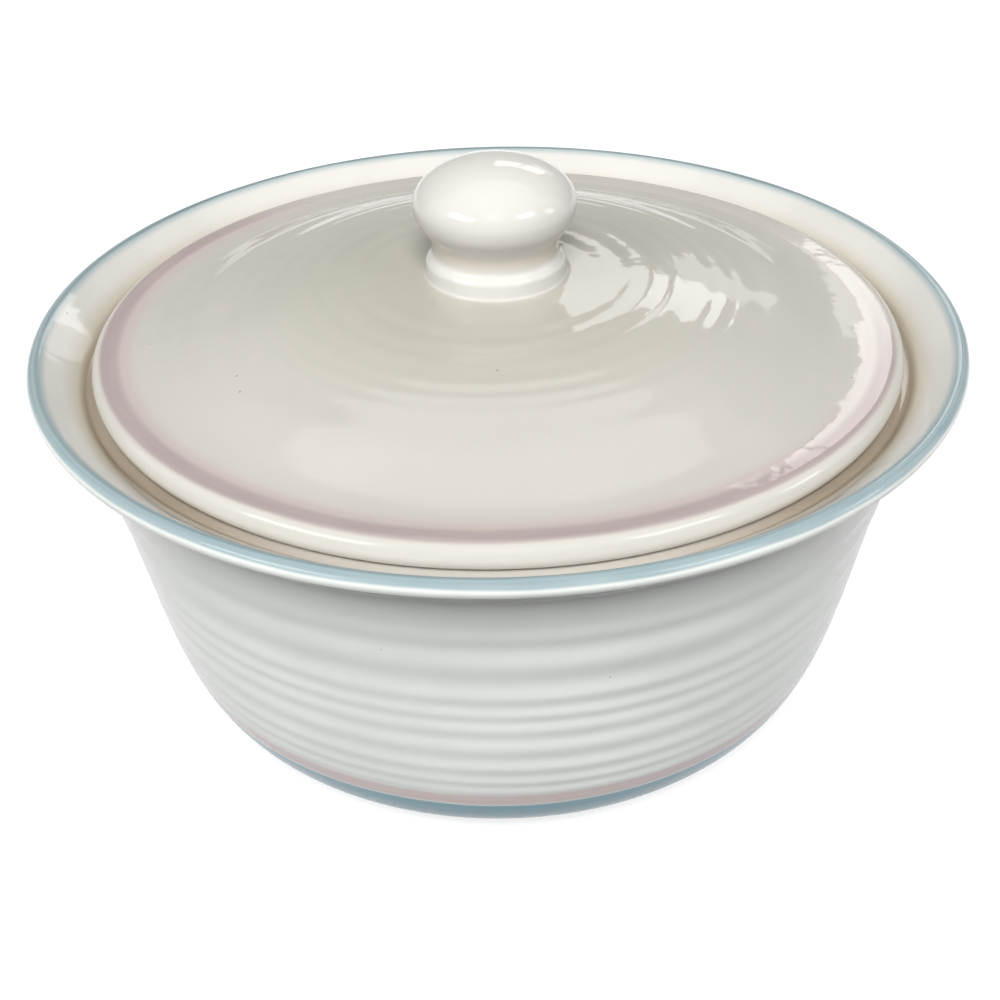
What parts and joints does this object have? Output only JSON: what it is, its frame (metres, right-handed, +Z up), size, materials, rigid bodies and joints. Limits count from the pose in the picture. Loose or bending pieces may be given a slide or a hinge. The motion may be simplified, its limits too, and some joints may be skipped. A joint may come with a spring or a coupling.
{
  "type": "covered casserole dish",
  "caption": "Round glazed stoneware casserole dish with a flared rim and a loose domed lid that sits in an inner gallery and lifts by its knob.",
  "frame": {"origin": "centre of the foot ring, on the surface that the dish stands on", "axes": "+Z up along the axis that the dish, the lid and the knob are turned about"},
  "size_m": [0.254, 0.254, 0.1562],
  "materials": {
    "white_glaze": "glossy off-white glaze on stoneware, pale blue band on the lip and at the base, thin pink line above the base",
    "cream_glaze": "glossy cream glaze on stoneware, soft lilac band round the margin of the lid"
  },
  "bodies": {
    "dish": {"casserole_dish": "white_glaze"},
    "cover": {"lid": "cream_glaze", "lid_knob": "cream_glaze"}
  },
  "joints": [
    {"name": "lid_lift", "type": "slide", "parent": "dish", "child": "cover", "axis": [0, 0, 1], "range_m": [0, 0.15]}
  ]
}
